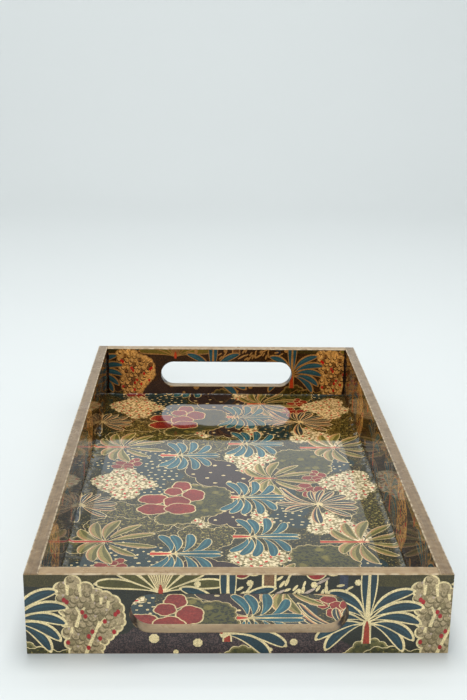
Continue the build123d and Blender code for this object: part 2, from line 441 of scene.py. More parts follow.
def lining_material():
    """Dark lining paper with a laid texture and scuffs."""
    made, tree, shader = new_material("lining_paper", 0.8)
    laid = noise_node(tree, stretched(tree, on_tray(tree), 90.0, 1400.0, 90.0), 1.0, 3.0)
    pulp = noise_node(tree, on_tray(tree), 700.0, 4.0, 0.65)
    scuff = noise_node(tree, on_tray(tree), 26.0, 5.0, 0.7)
    pulped = remap(tree, pulp, 0.35, 0.7, 0, 1)
    colour = mix_colour(tree, pulped, linear(66, 54, 44), linear(46, 38, 31))
    colour = mix_colour(tree, remap(tree, scuff, 0.58, 0.7, 0, 0.35), colour, linear(98, 84, 70))
    gloss = remap(tree, scuff, 0.3, 0.7, 0.68, 0.88)
    dress(tree, shader, colour, gloss, math_node(tree, "ADD", laid, pulp), 0.4, 0.06)
    return made


def nail_material():
    """Drawn steel with a thin dull film."""
    made, tree, shader = new_material("nail_steel", 0.35, Metallic=1.0)
    film = noise_node(tree, on_tray(tree), 900.0, 3.0)
    colour = mix_colour(tree, film, linear(176, 174, 170), linear(128, 122, 114))
    dress(tree, shader, colour, remap(tree, film, 0.3, 0.7, 0.26, 0.48), film, 0.2, 0.02)
    return made


# ---------------------------------------------------------------- the print

class Print:
    """Ink shapes on a sheet, in millimetres from its lower left corner, the last on top."""

    def __init__(self, width, height, ground):
        self.width, self.height = width, height
        self.shapes = [(ground, [(0, 0), (width, 0), (width, height), (0, height)])]

    def lay(self, ink, outline):
        across = [p[0] for p in outline]
        upward = [p[1] for p in outline]
        beside = max(across) <= 0 or min(across) >= self.width
        if beside or max(upward) <= 0 or min(upward) >= self.height:
            return
        following = outline[1:] + outline[:1]
        area = sum(a[0] * b[1] - b[0] * a[1] for a, b in zip(outline, following))
        self.shapes.append((ink, outline if area > 0 else outline[::-1]))


class Hand:
    """Draws motifs on a print from a local place, turned and scaled. Upright is +v."""

    def __init__(self, art, at=(0, 0), turn=0.0, size=1.0):
        self.art, self.at, self.turn, self.size = art, at, turn, size

    def placed(self, x, y):
        c, s = math.cos(self.turn) * self.size, math.sin(self.turn) * self.size
        return self.at[0] + x * c - y * s, self.at[1] + x * s + y * c

    def lay(self, ink, points):
        self.art.lay(ink, [self.placed(x, y) for x, y in points])

    def near(self, at, turn=0.0, size=1.0):
        """Another hand, placed in this one's own coordinates. turn is in degrees."""
        return Hand(self.art, self.placed(*at), self.turn + math.radians(turn), self.size * size)


def oval(x, y, radius, tall=None, bumps=0, depth=0.0, start=0.0):
    """A circle or oval, with bumps lobes round its edge if asked."""
    tall = radius if tall is None else tall
    count = bumps * 5 if bumps else max(7, min(26, int(max(radius, tall) * 5)))
    points = []
    for i in range(count):
        angle = 2 * math.pi * i / count + start
        reach = 1 + depth * (abs(math.sin(bumps * (angle - start) / 2)) - 0.6) if bumps else 1
        points.append((x + radius * reach * math.cos(angle), y + tall * reach * math.sin(angle)))
    return points


def stroke(points, width, end_width=None):
    """The outline of a line through points, tapering to end_width."""
    end_width = width if end_width is None else end_width
    left, right = [], []
    last = len(points) - 1
    for i, (x, y) in enumerate(points):
        ax, ay = points[max(0, i - 1)]
        bx, by = points[min(last, i + 1)]
        long = math.hypot(bx - ax, by - ay)
        half = (width + (end_width - width) * i / last) / 2
        nx, ny = -(by - ay) / long * half, (bx - ax) / long * half
        left.append((x + nx, y + ny))
        right.append((x - nx, y - ny))
    return left + right[::-1]


# How a blade fills out and closes: a factor on its width, and two powers.
BLUNT, POINTED = (0.92, 2.2, 0.55), (1.22, 1.6, 0.75)

BLADE_STEPS = 12  # how many straight pieces make up each side of a blade


def blade(hand, root, tip, bow, width, ink, thick, thin, bare=0.12, stripes=(), shape=BLUNT):
    """A leaf from root to tip, bowed to the left of its way and edged thicker on that side.

    bare is how much of its length, from the root, is only the edge lines run together. stripes
    are (from, to, ink) across the leaf, from -1 at its right edge to 1 at its left.
    """
    dx, dy = tip[0] - root[0], tip[1] - root[1]
    long = math.hypot(dx, dy)
    knee = (root[0] + dx / 2 - dy / long * bow * 2, root[1] + dy / 2 + dx / long * bow * 2)
    stations = []
    factor, fill, close = shape
    for i in range(BLADE_STEPS + 1):
        t = 1 - (1 - i / BLADE_STEPS) ** 1.5
        x, y = ((1 - t) ** 2 * root[k] + 2 * t * (1 - t) * knee[k] + t * t * tip[k] for k in (0, 1))
        hx, hy = ((1 - t) * (knee[k] - root[k]) + t * (tip[k] - knee[k]) for k in (0, 1))
        speed = math.hypot(hx, hy)
        filled = (t - bare) / (1 - bare)
        swell = width * factor * filled * (1 - filled ** fill) ** close if 0 < filled < 1 else 0.0
        stations.append((x, y, -hy / speed, hx / speed, swell, min(1.0, 0.35 + t * 1.4)))
    x, y, nx, ny, _, _ = stations[-1]
    beyond = (x + ny * thin * 1.3, y - nx * thin * 1.3, nx, ny, 0.0, 0.4)

    def side(places, share, grow):
        reaches = [(x, y, nx, ny, w * share + e * grow) for x, y, nx, ny, w, e in places]
        return [(x + nx * reach, y + ny * reach) for x, y, nx, ny, reach in reaches]

    def band(places, low, high, low_grow=0.0, high_grow=0.0):
        return side(places, high, high_grow) + side(places, low, -low_grow)[::-1]

    left_edge, right_edge = (thick, thin) if bow >= 0 else (thin, thick)
    hand.lay("line", band(stations + [beyond], -1, 1, right_edge, left_edge))
    filled = [s for s in stations if s[4] > 0]
    hand.lay(ink, band(filled, -1, 1))
    for low, high, stripe in stripes:
        hand.lay(stripe, band(filled, low, high))


def mirrored(hand, root, tip, bow, *rest):
    for side in (1, -1):
        blade(hand, (side * root[0], root[1]), (side * tip[0], tip[1]), side * bow, *rest)


# Where the blades of the floor's and the walls' teal palms end.
FLOOR_CROWN = (
    (-27.5, -8), (-28, 1), (-30, 14), (-23, 28),
    (22.5, -14), (28, -6.5), (30, 3), (30, 16.5), (23, 28),
)
WALL_CROWN = (
    (22, -18.5), (28, -11), (32, 0), (33, 11), (27, 22),
    (-24, -17.5), (-30, -10.5), (-32, 1), (-30, 13), (-24, 21),
)


def palm(hand, crown, reach, trunk, width, edge, rise, bow, bare=0.12, shape=POINTED):
    """A crown of teal blades off a short stem, a straight pair in the middle and a red trunk.

    rise is how far up the stem the uppermost blades leave it.
    """
    hand.lay("line", [(-2.9, -trunk), (2.9, -trunk), (2.4, 2), (-2.4, 2)])
    stripes = ((0.05, 0.45, "teal_light"),)
    for x, y in crown:
        side = 1 if x > 0 else -1
        root = (side * 0.6, rise * max(0.0, (y + 12) / 40))
        edges = (edge, edge * 0.55)
        blade(hand, root, (x, y), side * bow, width, "teal", *edges, bare, stripes, shape)
    mirrored(hand, (0.9, 2), (2.4, reach), -0.8, width * 0.7, "teal", edge * 0.5, edge * 0.7, bare)
    hand.lay("line", stroke([(0, 0), (0, reach * 0.96)], edge * 1.3, edge * 0.7))
    hand.lay("line", oval(0, 0.5, edge * 1.3, edge * 1.7, 7, 0.25))
    hand.lay("trunk", [(-2.0, -trunk), (2.0, -trunk), (1.4, -2), (0.3, 2), (-0.5, 2), (-1.5, -2)])


# Each blade of the olive palm: its tip and bow.
OLIVE_BLADES = (
    (-19, -20, 5), (18, -16, -5), (-30, -9, 4), (29, -6, -4), (-33, 8, 4), (32, 7, -4),
    (-26, 24, 2.5), (21, 23, -2.5), (-12, 35, 1.5), (8, 37, -1),
)


def olive_palm(hand, trunk, width=8.6):
    """Broad two-tone blades all round a heart, on a long thin red trunk."""
    hand.lay("line", stroke([(0, -trunk), (0, 0)], 4.2, 3.0))
    for x, y, bow in OLIVE_BLADES:
        side = -1 if x < 0 else 1
        slim = 0.72 if y > 10 else 1.0
        stripes = ((-side, -side * 0.72, "blush"), (0.0, side * 0.8, "olive"))
        blade(hand, (0, 0), (x, y), bow, width * slim, "sage", 0.6, 0.5, 0.1, stripes, POINTED)
    hand.lay("trunk", stroke([(0, -trunk), (0, 0), (0, 5)], 3.0, 0.8))
    for side in (1, -1):
        hand.lay("ground", stroke([(side * 0.8, 1), (side * 5, 3), (side * 9, 1.5)], 0.6, 1.3))


def heart_fan(hand):
    """The walls' olive plant: two long low leaves, higher ones, and a pale ribbed fan."""
    for x, y, bow, width in ((38, 5.5, 2.2, 5.6), (27, 15, 1.0, 5.4), (18, 23, 0.5, 5)):
        mirrored(hand, (1.5, 0), (x, y), bow, width, "olive", 1.2, 1.1, 0.08)
    hand.lay("line", [(-1.5, 0), (1.5, 0), (10, 16), (0, 19), (-10, 16)])
    for i in range(-4, 5):
        hand.lay("bark", stroke([(i * 0.45, 2.5), (i * 2.4, 18)], 0.25, 0.7))
    hand.lay("trunk", [(-0.9, -2.5), (0.9, -2.5), (1.6, 1), (0.4, 5), (-0.5, 5), (-1.5, 1)])


# Each blade of the striped fan: its tip, bow and width.
STRIPED_BLADES = (
    (-30, -28, 7, 9), (-24, -30, 10, 8), (-2, -33, 2, 7), (12, -26, -2, 9),
    (-24, -4, 2, 6), (-26, 6, 2, 6), (-23, 14, 1, 6), (-16, 24, 1, 8),
    (-4, 30, 1, 10), (6, 30, -1, 9), (20, 23, -1, 7), (33, -2, -2, 9),
)


def striped_fan(hand):
    """Curled blades striped navy, pale and blush."""
    stripes = ((-1, -0.66, "blush"), (-0.12, 0.12, "line"))
    for x, y, bow, width in STRIPED_BLADES:
        blade(hand, (0, 0), (x, y), bow, width * 0.95, "navy", 0.6, 0.8, 0.04, stripes)
    hand.lay("line", oval(0, 0, 1.6, 2.2, 7, 0.25))


def cluster(hand, lobes, inks, rim=0.9, bumps=0, edge="line"):
    """Overlapping round lobes as one shape with a single edge line. inks are (inset, ink)."""
    for x, y, radius in lobes:
        hand.lay(edge, oval(x, y, radius + rim, None, bumps, 0.1, x))
    for inset, ink in inks:
        for x, y, radius in lobes:
            if radius > inset + 1:
                hand.lay(ink, oval(x, y, radius - inset, None, bumps, 0.1, x))


def inside(lobes, x, y, margin=0.0):
    return any(math.hypot(x - lx, y - ly) < radius - margin for lx, ly, radius in lobes)


def scatter(lobes, spacing, margin, draws):
    """Evenly loose places inside lobes, no nearer than spacing to each other."""
    low_x, high_x = min(x - r for x, _, r in lobes), max(x + r for x, _, r in lobes)
    low_y, high_y = min(y - r for _, y, r in lobes), max(y + r for _, y, r in lobes)
    places = []
    for _ in range(int(6 * (high_x - low_x) * (high_y - low_y) / spacing ** 2)):
        x, y = draws.uniform(low_x, high_x), draws.uniform(low_y, high_y)
        clear = all(math.hypot(x - px, y - py) >= spacing for px, py in places)
        if clear and inside(lobes, x, y, margin):
            places.append((x, y))
    return places


def dotted(hand, lobes, ink, spacing, size, draws, rim=0.0, bumps=0):
    """A hill or pool with pale dots."""
    cluster(hand, lobes, ((0, ink),), rim, bumps, "line" if rim else ink)
    for x, y in scatter(lobes, spacing, size * 1.6, draws):
        wide, tall = size * draws.uniform(0.75, 1.25), size * draws.uniform(0.6, 0.95)
        hand.lay("line", oval(x, y, wide, tall, 0, 0.0, 0.4))


def hill(hand, lobes, bumps=9):
    """A rounded green hill, lighter along its edge."""
    cluster(hand, lobes, ((0, "hill_light"), (1.2, "hill")), 0.5, bumps)


def foliage(hand, lobes, draws, bumps=8):
    """A leafy mass with pale chevrons."""
    cluster(hand, lobes, ((0, "moss"),), 0.5, bumps)
    for x, y in scatter(lobes, 3.6, 1.0, draws):
        leaf = hand.near((x, y), draws.uniform(-50, 50))
        ink = draws.choice(("hill_light", "sage", "olive"))
        leaf.lay(ink, [(-1.6, 0.9), (-1.1, 1.5), (0, 0.4), (1.1, 1.5), (1.6, 0.9), (0, -1.2)])


# The tall bush's outer lobes and its body, from its middle.
BUSH_EDGE = (
    (-18.2, 16.6, 3.9), (-11.2, 21.0, 4.1), (-3.8, 16.6, 4.2), (2.5, 12.5, 4.0), (7.5, 11.0, 3.8),
    (11.8, 8.0, 4.0), (14.3, 3.5, 3.8), (15.3, -1.5, 3.2), (16.6, -5.5, 2.2), (14.8, -9.0, 2.2),
    (12, -12, 2.2), (9.5, -15, 2.2), (6.5, -18.5, 2.2), (4, -22.5, 2.2), (2, -27, 3.0),
    (-4, -26, 4.4), (-10, -26, 4.2), (-13.5, -20, 3.2), (-15, -13, 3.2), (-15.5, -5, 3.4),
    (-16, 3, 3.6), (-17, 10, 3.8),
)
BUSH_BODY = (
    (-8, 11, 8), (2, 4, 8), (-8, 2, 9), (7, -3, 8), (-5, -8, 9), (3, -12, 7), (-6, -17, 8),
    (-2, -22, 6),
)
# Its twigs, each as the places that it runs through, and its berries' places.
BUSH_TWIGS = (
    ((-5, -28), (-1, -18), (2.5, -9), (3.8, -5)), ((2.5, -9), (7.4, -2.6)),
    ((-10, -9), (-7.6, 0), (-9.8, 4.6)), ((-7.6, 0), (-4.6, 4.4)), ((-13, -13), (-12.4, -9)),
    ((-14.6, 19.4), (-14.6, 12.6)), ((-7.6, 20), (-6.8, 11.6)), ((0, 13.5), (0.6, 9)),
    ((5.2, 11), (5, 6.5)), ((9.6, 9), (8.8, 4)), ((-15.6, 5.2), (-16.8, 1.8)),
)
BUSH_BERRIES = (
    (-16.8, 9.4), (-15.2, 8), (-6.2, 1.2), (-4.4, -1.6), (15, 1.4), (13.4, -0.2), (7, -5),
    (-0.5, -12), (-2.7, -15.2), (12.4, -12.2), (4, -16.6), (-15.2, -19.4), (-3, -23),
)


def tall_bush(hand):
    """A lobed tan bush with darker drops, pale twigs and red berries."""
    body = BUSH_EDGE + BUSH_BODY
    cluster(hand, body, ((0, "coral"),), 1.1)
    for row in range(13):
        for column in range(10):
            x = -21 + 4.3 * column + (2.15 if row % 2 else 0) + 0.7 * math.sin(row * 7 + column * 5)
            y = -28 + 4.2 * row + 0.7 * math.sin(row * 3 + column * 11)
            if inside(body, x, y, 1.5):
                wide = 2.2 + 0.35 * math.sin(row * 5 + column * 3)
                hand.lay("coral_shade", oval(x, y, wide + 0.2, 2.6))
                ink = "coral" if (row * 3 + column) % 4 else "coral_core"
                hand.lay(ink, oval(x + 0.3, y + 0.7, wide - 0.1, 2.2))
                if (row + column) % 2:
                    hand.lay("lilac", oval(x + 1.6, y + 2.0, 0.7, 0.9))
    for twig in BUSH_TWIGS:
        hand.lay("line", stroke(twig, 2.2, 1.3))
    for x, y in BUSH_BERRIES:
        hand.lay("berry", oval(x, y, 1.3, 1.7))


def pebble_bush(hand, lobes, draws):
    """A bush of small pale knobs with red berries between them."""
    knobs = []
    for x, y, radius in lobes:
        count = max(7, int(radius * 1.7))
        for i in range(count):
            angle = 2 * math.pi * (i + draws.uniform(-0.2, 0.2)) / count
            place = (x + radius * math.cos(angle), y + radius * math.sin(angle))
            if not inside(lobes, *place, 1.5):
                knobs.append(place + (draws.uniform(1.3, 2.2),))
    cluster(hand, tuple(knobs) + lobes, ((0, "pebble"),), 0.35, 0, "olive")
    for x, y in scatter(lobes, 6.6, 0.5, draws):
        berry = hand.near((x, y), draws.uniform(-60, 60))
        berry.lay("berry", oval(0, 0, 0.95, 1.6))


# The floor's flower: each petal's place and half sizes.
PETALS = (
    (7.8, 29, 5.5, 7), (1.5, 19, 5.2, 5.2), (17.5, 12.5, 6.8, 9), (-13.5, 5, 10, 6.6),
    (4.5, 0.5, 8.4, 8.2), (-13.8, -12.5, 9.6, 7), (7.6, -11.5, 10, 7.2),
)


def flower(hand):
    """Rounded red petals, each with its own pale edge."""
    for x, y, wide, tall in PETALS:
        hand.lay("line", oval(x, y, wide + 2.5, tall + 2.5, 5, 0.12, x))
        hand.lay("petal", oval(x, y, wide + 1.6, tall + 1.6, 5, 0.12, x))


# Each leaf of a sprig: its place, turn and size.
SPRIG_LEAVES = ((0, 0, -35, 1), (3, 1.5, -20, 1.1), (-1.5, 4, -50, 0.9), (4.5, 5.5, -30, 0.8))


def sprig(hand):
    """Leaning pale leaves, as if blown."""
    for x, y, turn, size in SPRIG_LEAVES:
        leaf = hand.near((x, y), turn, size)
        leaf.lay("line", oval(0, 0, 1.0, 2.9))


# Each lobe and bud of the walls' print: its place and radius. Each sprig: its place and turn.
WALL_PLUM = (
    (62, -7, 21), (74, 4, 17), (90, 3, 20), (112, 2, 22), (136, 2, 22), (156, 2, 19), (172, -2, 19),
    (184, -8, 17),
)
WALL_SPRIGS = (
    (152, 47, 0), (162, 41, 12), (128, 40, -8), (176, 41, 20), (155, 39, -20), (186, 42, -30),
)
WALL_BUDS = (
    (76.2, 10.3, 3.1), (102.3, 7.3, 2.9), (160, 7.7, 2.3), (89.2, 1.0, 1.6), (146, 2.5, 1.4),
)


def wall_motifs(art, start, lift, size, draws):
    """One repeat of the walls' print: a half-seen palm, bush and hill, and the large palm."""
    page = Hand(art, (start, lift), 0.0, size)
    page.lay("olive_ground", [(-12, 46), (10, 45), (30, 47), (52, 49), (64, 62), (-12, 62)])
    for ink, left, right in (("line", 140, 148.5), ("bark", 141.2, 147.3)):
        page.lay(ink, [(left, 44), (right, 44), (right, 62), (left, 62)])
    cluster(page, ((172, 56, 6), (182, 58, 5)), ((0, "petal"),), 0.8)
    page.lay("navy", [(186, 44), (191, 44), (191, 62), (186, 62)])
    cluster(page, ((128, 56, 5), (135, 58, 5)), ((0, "petal_shade"),), 0.8)
    heart_fan(page.near((80.3, 41.5)))
    for x, y in ((102, 47), (133, 47.7), (171, 46.5), (197, 48)):
        page.lay("line", oval(x, y, 2.0, None, 7, 0.15))
    for x, y, turn in WALL_SPRIGS:
        sprig(page.near((x, y), turn, 0.95))
    for x, y in ((168, 42), (176, 49), (150, 41)):
        page.near((x, y), -60).lay("lilac", oval(0, 0, 0.9, 4.5))
    cluster(page, WALL_PLUM, ((0, "plum"),), 0.0)
    palm(page.near((120, 20)), ((-28, 24), (28, 24), (-30, 12), (30, 12)), 40, 12, 5.8, 1.3, 4, 4)
    for x, y, radius in WALL_BUDS:
        page.lay("line", oval(x, y, radius, None, 8, 0.1))
    hill(page, ((129, -7, 12), (138, -8, 10), (119, -10, 10)), 12)
    blade(page, (120, 14), (155, 5), 4, 6.4, "teal", 1.5, 0.9, 0.08)
    blade(page, (118, 13), (145, -2), 4, 6.4, "teal", 1.5, 0.9, 0.08)
    page.lay("line", oval(118, 13, 2.6, 2.2, 7, 0.2))
    page.lay("trunk", oval(116.5, 14.5, 1.0, 1.4))
    hill(page, ((206, -3, 13), (216, -5, 10), (196, -6, 8)), 13)
    foliage(page, ((9, -9, 13), (0, -7, 11), (22, -12, 14)), draws, 9)
    tall_bush(page.near((40, 27)))
    palm(page.near((-8, 20)), WALL_CROWN, 40, 13.5, 5.6, 1.6, 4.5, 4.2)


WALL_REPEAT = 211.7  # how far the walls' print runs before it starts again, in millimetres
CORNER_SHADE_REACH = 1.5  # how far the painted corner shade reaches on to a sheet


def wall_print(width, height, start, lift, size, corner_shades):
    art = Print(width, height, "ground")
    place = start - WALL_REPEAT * size
    while place < width + 40:
        wall_motifs(art, place, lift, size, random.Random(1))
        place += WALL_REPEAT * size
    # Painted shade: a dark ragged strip at each end of the inner sheets, for the shade in the inner
    # corners.
    if corner_shades:
        for edge in (0.0, width):
            ragged = [(edge + CORNER_SHADE_REACH + 0.5 * math.sin(i * 2.1), height * i / 12) for i in range(13)]
            back = [(edge - CORNER_SHADE_REACH - 0.4 * math.sin(i * 1.7), height * i / 12) for i in range(13)]
            art.lay("seam", ragged + back[::-1])
    return art


FLOOR_REPEAT = 175.0  # how far the floor's print runs before it starts again, in millimetres
ACROSS = -90  # the floor's motifs stand across the tray, their tops to the right

# The floor's masses, each as lobes: a place from the left wall and from the repeat's rear
# edge, and a radius.
FLOOR_FOLIAGE = (
    ((60, 104, 15), (36, 98, 14), (46, 116, 12), (84, 100, 13), (20, 110, 12)),
    ((92, 123, 14), (105, 130, 13), (96, 140, 12), (112, 118, 8), (84, 134, 9)),
    ((220, 70, 16), (228, 84, 15), (222, 100, 14), (232, 55, 12), (214, 58, 8)),
    ((30, 82, 13), (44, 86, 12), (64, 90, 10)),
)
FLOOR_POOLS = (
    ((60, 0, 17), (55, 18, 15), (52, 36, 14), (56, 50, 12), (70, 20, 10)),
    ((24, 0, 15), (12, -4, 9), (36, 6, 9)),
    ((206, -2, 13), (196, 4, 10), (216, -8, 9)),
    ((160, 66, 13), (164, 82, 14), (158, 98, 13), (168, 104, 9), (160, 52, 10)),
    ((40, 148, 16), (54, 158, 12), (24, 160, 12), (66, 150, 9)),
)
FLOOR_PLUMS = (
    (11, 1.7, (
        (95, -4, 14), (108, 6, 18), (120, 20, 16), (120, 36, 14), (96, 10, 15), (124, 48, 9),
        (104, 26, 14),
    )),
    (9, 1.5, ((116, 88, 13), (126, 94, 11), (108, 100, 8), (122, 104, 8))),
)
FLOOR_HILLS = (
    (11, (
        (88, 46, 10), (104, 54, 14), (108, 68, 12), (98, 80, 14), (82, 92, 14), (70, 98, 10),
        (88, 62, 14),
    )),
    (12, (
        (178, -4, 22), (190, 4, 14), (172, -22, 14), (186, -24, 12), (194, -10, 12), (164, -8, 12),
    )),
    (8, ((8, 134, 8), (4, 144, 8))),
)
FLOOR_BUSHES = (
    ((136, -16, 12), (124, -18, 9), (146, -18, 10), (136, -2, 11), (134, 8, 7), (154, -17, 4)),
    ((30, 33, 20), (17, 30, 11), (34, 54, 10), (48, 36, 8), (30, 14, 9), (56, 38, 3)),
    ((214, 33, 18), (202, 34, 11), (216, 54, 10), (226, 40, 10), (222, 18, 10)),
    ((139, 92, 6), (142, 102, 7), (140, 84, 4)),
    ((186, 100, 9), (197, 110, 13), (206, 124, 12), (182, 114, 8), (192, 92, 5)),
    ((96, 108, 4), (92, 102, 3)),
)
# Each small flower: its place, turn and size.
SMALL_FLOWERS = ((31, -2, -20, 0.44), (183, 48, 80, 0.5), (188, 24, 10, 0.42))
# Each teal palm: its place, trunk and width.
FLOOR_PALMS = ((72, -23, 13, 7.4), (129, -49, 11, 7.0), (123, 60, 5, 7.0))


def floor_motifs(art, rear, draws):
    """One repeat of the floor's print."""
    page = Hand(art, (0, rear))

    def standing(x, back, size=1.0):
        return Hand(art, (x, rear - back)).near((0, 0), ACROSS, size)

    def lobes(places):
        return tuple((x, -back, radius) for x, back, radius in places)

    for places in FLOOR_FOLIAGE:
        foliage(page, lobes(places), draws)
    for places in FLOOR_POOLS:
        dotted(page, lobes(places), "pool", 4.6, 1.3, draws)
    for spacing, dot, places in FLOOR_PLUMS:
        dotted(page, lobes(places), "plum", spacing, dot, draws, 0.5)
    for bumps, places in FLOOR_HILLS:
        hill(page, lobes(places), bumps)
    pebble_bush(page, lobes(FLOOR_BUSHES[0]), draws)
    for x, back, turn, size in SMALL_FLOWERS:
        flower(Hand(art, (x, rear - back)).near((0, 0), turn, size))
    for places in FLOOR_BUSHES[1:]:
        pebble_bush(page, lobes(places), draws)
    flower(Hand(art, (71, rear - 69)))
    striped_fan(standing(186, 72.5))
    striped_fan(standing(2, 76, 0.9))
    olive_palm(standing(26, -41), 28)
    olive_palm(standing(212, -41), 31)
    olive_palm(standing(152, 24), 14, 7.4)
    for x, back, trunk, width in FLOOR_PALMS:
        palm(standing(x, back), FLOOR_CROWN, 38, trunk, width, 0.75, 13, 3.8, 0.05, BLUNT)


def floor_print(width, length):
    art = Print(width, length, "thicket")
    first_rear = length
    for repeat in range(4):
        floor_motifs(art, first_rear - repeat * FLOOR_REPEAT, random.Random(5))
    return art


# ---------------------------------------------------------------- sheets

SLOT_CLEAR = 0.3  # how far the sheets are cut back from the slots, in millimetres
SLOT_ARC_STEPS = 20


def slot_outline(centre_x, centre_z):
    """The hand slot's outline on a sheet, in millimetres."""
    half, radius = SLOT_HALF / MM, SLOT_RADIUS / MM + SLOT_CLEAR
    points = []
    for side, start in ((1, -90), (-1, 90)):
        for i in range(SLOT_ARC_STEPS + 1):
            angle = math.radians(start + 180 * i / SLOT_ARC_STEPS)
            x, z = side * half + radius * math.cos(angle), radius * math.sin(angle)
            points.append((centre_x + x, centre_z + z))
    return points


def new_piece(name, mesh, slot, *nodes):
    piece = bpy.data.objects.new(name, mesh)
    bpy.context.scene.collection.objects.link(piece)
    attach(piece, "root")
    if nodes:
        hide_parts(*nodes)
    return piece


def printed_sheet(name, art, finish, corner, right, up, thickness, nodes, hole=None, creep=None):
    """A thin closed sheet whose face is cut along the art's shapes. corner is its lower left.

    creep, if given, is the enamel's rise at a place on the sheet, and its guide outlines.
    """
    rise, guides = creep or (None, [])
    shapes = art.shapes + ([("cut", hole)] if hole else [])
    inked = len(shapes)
    shapes = shapes + [("guide", outline) for outline in guides]
    corners, loops = [], []
    for _, outline in shapes:
        loops.append(list(range(len(corners), len(corners) + len(outline))))
        corners += [Vector(p) for p in outline]
    points, _, faces, _, _, origins = delaunay_2d_cdt(corners, [], loops, 1, 1e-4, True)
    inks = ["paper_edge"] + sorted({ink for ink, _ in shapes[:inked]} - {"cut"})
    normal = right.cross(up)
    made = bmesh.new()
    verts = {}
    for corner_ids, sources in zip(faces, origins):
        if 0 not in sources:
            continue
        ink = shapes[max(i for i in sources if i < inked)][0]
        if ink == "cut":
            continue
        for i in corner_ids:
            if i not in verts:
                height = rise(*points[i]) if rise else 0.0
                place = right * points[i][0] + up * points[i][1] + normal * height
                verts[i] = made.verts.new(corner + place * MM)
        face = made.faces.new([verts[i] for i in corner_ids])
        face.material_index = inks.index(ink)
        face.smooth = rise is not None
    border = [edge for edge in made.edges if edge.is_boundary]
    for edge in border:
        edge.smooth = False
    grown = bmesh.ops.extrude_edge_only(made, edges=border)["geom"]
    back = {item for item in grown if isinstance(item, bmesh.types.BMVert)}
    for vert in back:
        vert.co -= normal * (thickness + (vert.co - corner).dot(normal))
    grown_edges = [item for item in grown if isinstance(item, bmesh.types.BMEdge)]
    back_edges = [edge for edge in grown_edges if set(edge.verts) <= back]
    filled = bmesh.ops.triangle_fill(
        made, use_beauty=True, use_dissolve=False, edges=back_edges, normal=-normal,
    )
    for item in grown + filled["geom"]:
        if isinstance(item, bmesh.types.BMFace):
            item.material_index = 0
            item.smooth = False
    bmesh.ops.recalc_face_normals(made, faces=made.faces)
    mesh = bpy.data.meshes.new(name)
    made.to_mesh(mesh)
    made.free()
    for ink in inks:
        mesh.materials.append(ink_material(finish, ink))
    return new_piece(name, mesh, "printed_paper", *nodes)


def wobble(along, lane, scale):
    """Smooth unevenness from -1 to 1 along an edge. lane keeps neighbouring edges different."""
    return noise.noise(Vector((along / scale, lane, 3.7)))


CREEP_SPREAD = 1.7  # how much wider than tall the enamel's round is along the side walls
CREEP_INSETS = (0.15, 0.5, 1.0, 1.7, 2.6, 3.8)  # where its surface is cut, from the walls
CREEP_STEP = 1.4


def enamel_creep(width, length):
    """The enamel's hollow round along the walls, in millimetres, and the outlines it needs."""
    def rise(u, v):
        sides = ((u, v, 1.0), (width - u, v, 2.0), (v, u, 3.0), (length - v, u, 4.0))
        distance, along, wall = min(sides)
        distance = max(0.0, distance) / (CREEP_SPREAD if wall < 3 else 1.0)
        ripple = 0.16 * wobble(along, wall * 9, 9.0) + 0.1 * wobble(along, wall * 7, 2.6)
        radius = MENISCUS / MM * (0.82 + ripple)
        if distance >= radius:
            return 0.0
        hollow = radius - math.sqrt(radius ** 2 - (radius - distance) ** 2)
        slope = (radius - distance) * (0.78 + 0.25 * wobble(along, wall * 5, 4.0))
        flat = min(1.0, max(0.0, 0.35 + 1.6 * wobble(along, wall * 3, 5.0)))
        return min(hollow, radius * 0.85) * (1 - flat) + slope * flat

    guides = []
    for low in CREEP_INSETS:
        wide, long = width - 2 * low, length - 2 * low
        across, along = int(wide / CREEP_STEP), int(long / CREEP_STEP)
        outline = [(low + wide * i / across, low) for i in range(across)]
        outline += [(low + wide, low + long * i / along) for i in range(along)]
        outline += [(low + wide * (1 - i / across), low + long) for i in range(across)]
        outline += [(low, low + long * (1 - i / along)) for i in range(along)]
        guides.append(outline)
    return rise, guides


